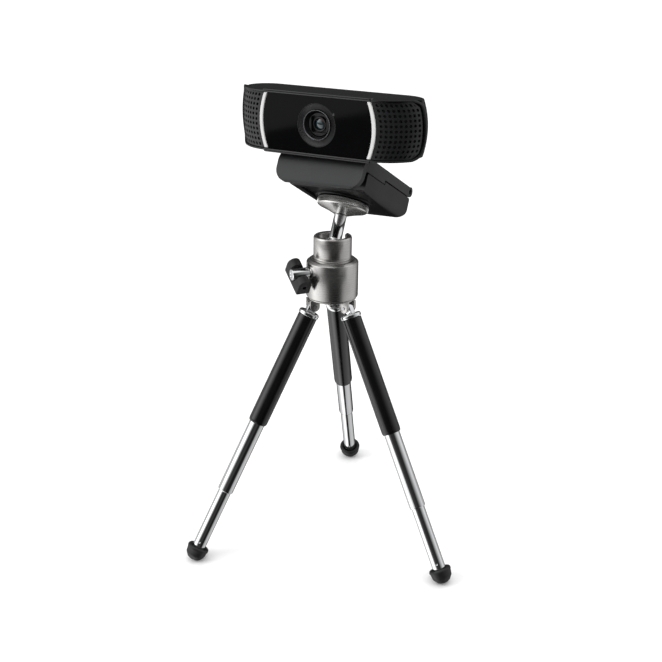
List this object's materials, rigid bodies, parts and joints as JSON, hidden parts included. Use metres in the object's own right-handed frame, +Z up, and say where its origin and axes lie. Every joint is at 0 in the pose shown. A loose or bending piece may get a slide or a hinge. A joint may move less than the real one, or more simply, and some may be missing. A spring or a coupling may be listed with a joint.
{
  "type": "webcam on tripod",
  "caption": "Webcam with a folding clip, screwed to a small ball-head tripod whose telescoping legs end in rubber feet.",
  "frame": {"origin": "on the ground under the middle of the bounding box", "axes": "+Z up, the webcam faces -Y, +X is to the right seen from the front"},
  "size_m": [0.1298, 0.1252, 0.2165],
  "materials": {
    "chrome": "bright polished",
    "steel": "turned",
    "black_sleeve": "gloss black",
    "rubber": "matte black",
    "nickel": "satin turned",
    "nylon": "natural",
    "knurled_wheel": "knurled rim, bright cone",
    "clip_plastic": "fine matte texture",
    "brass": "machined",
    "housing_plastic": "semi-gloss black",
    "bezel_plastic": "gloss black",
    "gloss_face": "mirror gloss black",
    "light_strip": "satin white",
    "grille_plastic": "matte, perforated",
    "lens_black": "satin black",
    "lens_glass": "coated",
    "sensor": "dark",
    "circuit_board": "green solder mask"
  },
  "bodies": {
    "hub": {"hub_body": "nickel", "hub_base": "nickel", "ball_seat": "nylon", "pivot_pin_left": "steel", "pivot_pin_right": "steel", "pivot_pin_back": "steel"},
    "clamp_knob": {"clamp_screw": "chrome", "knob_handle": "rubber"},
    "ball": {"ball_stem": "chrome", "camera_stud": "steel"},
    "wheel": {"thumbwheel": "knurled_wheel"},
    "clip": {"clip_foot": "clip_plastic", "thread_insert": "brass", "foot_pad": "rubber", "clip_pin": "steel"},
    "arm": {"clip_arm": "clip_plastic", "flap_pad": "rubber", "tilt_pin": "steel"},
    "webcam": {"rear_housing": "housing_plastic", "front_bezel": "bezel_plastic", "face_panel": "gloss_face", "light_strip_left": "light_strip", "light_strip_right": "light_strip", "grille_left": "grille_plastic", "grille_right": "grille_plastic", "lens_ring": "lens_black", "lens_barrel": "lens_black", "lens_glass": "lens_glass", "image_sensor": "sensor", "sensor_board": "circuit_board", "main_board": "circuit_board", "microphone_left": "steel", "microphone_right": "steel", "case_screw_left": "steel", "case_screw_right": "steel", "cable_grommet": "rubber"},
    "leg_left": {"leg_cap_left": "chrome", "sleeve_left": "black_sleeve"},
    "mid_left": {"mid_tube_left": "chrome"},
    "lower_left": {"lower_tube_left": "chrome", "foot_left": "rubber"},
    "leg_right": {"leg_cap_right": "chrome", "sleeve_right": "black_sleeve"},
    "mid_right": {"mid_tube_right": "chrome"},
    "lower_right": {"lower_tube_right": "chrome", "foot_right": "rubber"},
    "leg_back": {"leg_cap_back": "chrome", "sleeve_back": "black_sleeve"},
    "mid_back": {"mid_tube_back": "chrome"},
    "lower_back": {"lower_tube_back": "chrome", "foot_back": "rubber"}
  },
  "joints": [
    {"name": "leg_fold_left", "type": "hinge", "parent": "hub", "child": "leg_left", "pos_m": [-0.01744, 0.00088, 0.11651], "axis": [0.7635, -0.6358, 0.1136], "range_deg": [0, 26.3]},
    {"name": "mid_slide_left", "type": "slide", "parent": "leg_left", "child": "mid_left", "axis": [-0.2452, -0.4482, -0.8597], "range_m": [-0.033, 0.008]},
    {"name": "lower_slide_left", "type": "slide", "parent": "mid_left", "child": "lower_left", "axis": [-0.2452, -0.4482, -0.8597], "range_m": [-0.027, 0.005]},
    {"name": "leg_fold_right", "type": "hinge", "parent": "hub", "child": "leg_right", "pos_m": [-0.00219, 0.00643, 0.11651], "axis": [0.1762, 0.9778, -0.1136], "range_deg": [0, 26.3]},
    {"name": "mid_slide_right", "type": "slide", "parent": "leg_right", "child": "mid_right", "axis": [0.4759, -0.1857, -0.8597], "range_m": [-0.033, 0.008]},
    {"name": "lower_slide_right", "type": "slide", "parent": "mid_right", "child": "lower_right", "axis": [0.4759, -0.1857, -0.8597], "range_m": [-0.027, 0.005]},
    {"name": "leg_fold_back", "type": "hinge", "parent": "hub", "child": "leg_back", "pos_m": [-0.01458, 0.01675, 0.11466], "axis": [-0.9397, -0.342, 0], "range_deg": [0, 29]},
    {"name": "mid_slide_back", "type": "slide", "parent": "leg_back", "child": "mid_back", "axis": [-0.1251, 0.3438, -0.9307], "range_m": [-0.021, 0.018]},
    {"name": "lower_slide_back", "type": "slide", "parent": "mid_back", "child": "lower_back", "axis": [-0.1251, 0.3438, -0.9307], "range_m": [-0.027, 0.005]},
    {"name": "clamp_turn", "type": "hinge", "parent": "hub", "child": "clamp_knob", "pos_m": [-0.02133, -0.00302, 0.13307], "axis": [-0.5753, -0.8145, 0.0753], "range_deg": [-90, 180]},
    {"name": "ball_tilt", "type": "hinge", "parent": "hub", "child": "ball", "pos_m": [-0.01252, 0.01109, 0.14056], "axis": [-0.9971, -0.0066, -0.0753], "range_deg": [-46, 26]},
    {"name": "wheel_turn", "type": "hinge", "parent": "ball", "child": "wheel", "pos_m": [-0.0139, 0.02304, 0.15777], "axis": [-0.0657, 0.5689, 0.8198], "continuous": true},
    {"name": "webcam_pan", "type": "hinge", "parent": "ball", "child": "clip", "pos_m": [-0.0143, 0.02645, 0.16269], "axis": [-0.0657, 0.5689, 0.8198], "range_deg": [-170, 170]},
    {"name": "clip_open", "type": "hinge", "parent": "clip", "child": "arm", "pos_m": [-0.01403, 0.05317, 0.15685], "axis": [-0.9971, -0.0066, -0.0753], "range_deg": [0, 95]},
    {"name": "head_tilt", "type": "hinge", "parent": "arm", "child": "webcam", "pos_m": [-0.01588, 0.01811, 0.18433], "axis": [-0.9971, -0.0066, -0.0753], "range_deg": [-3, 22]}
  ]
}
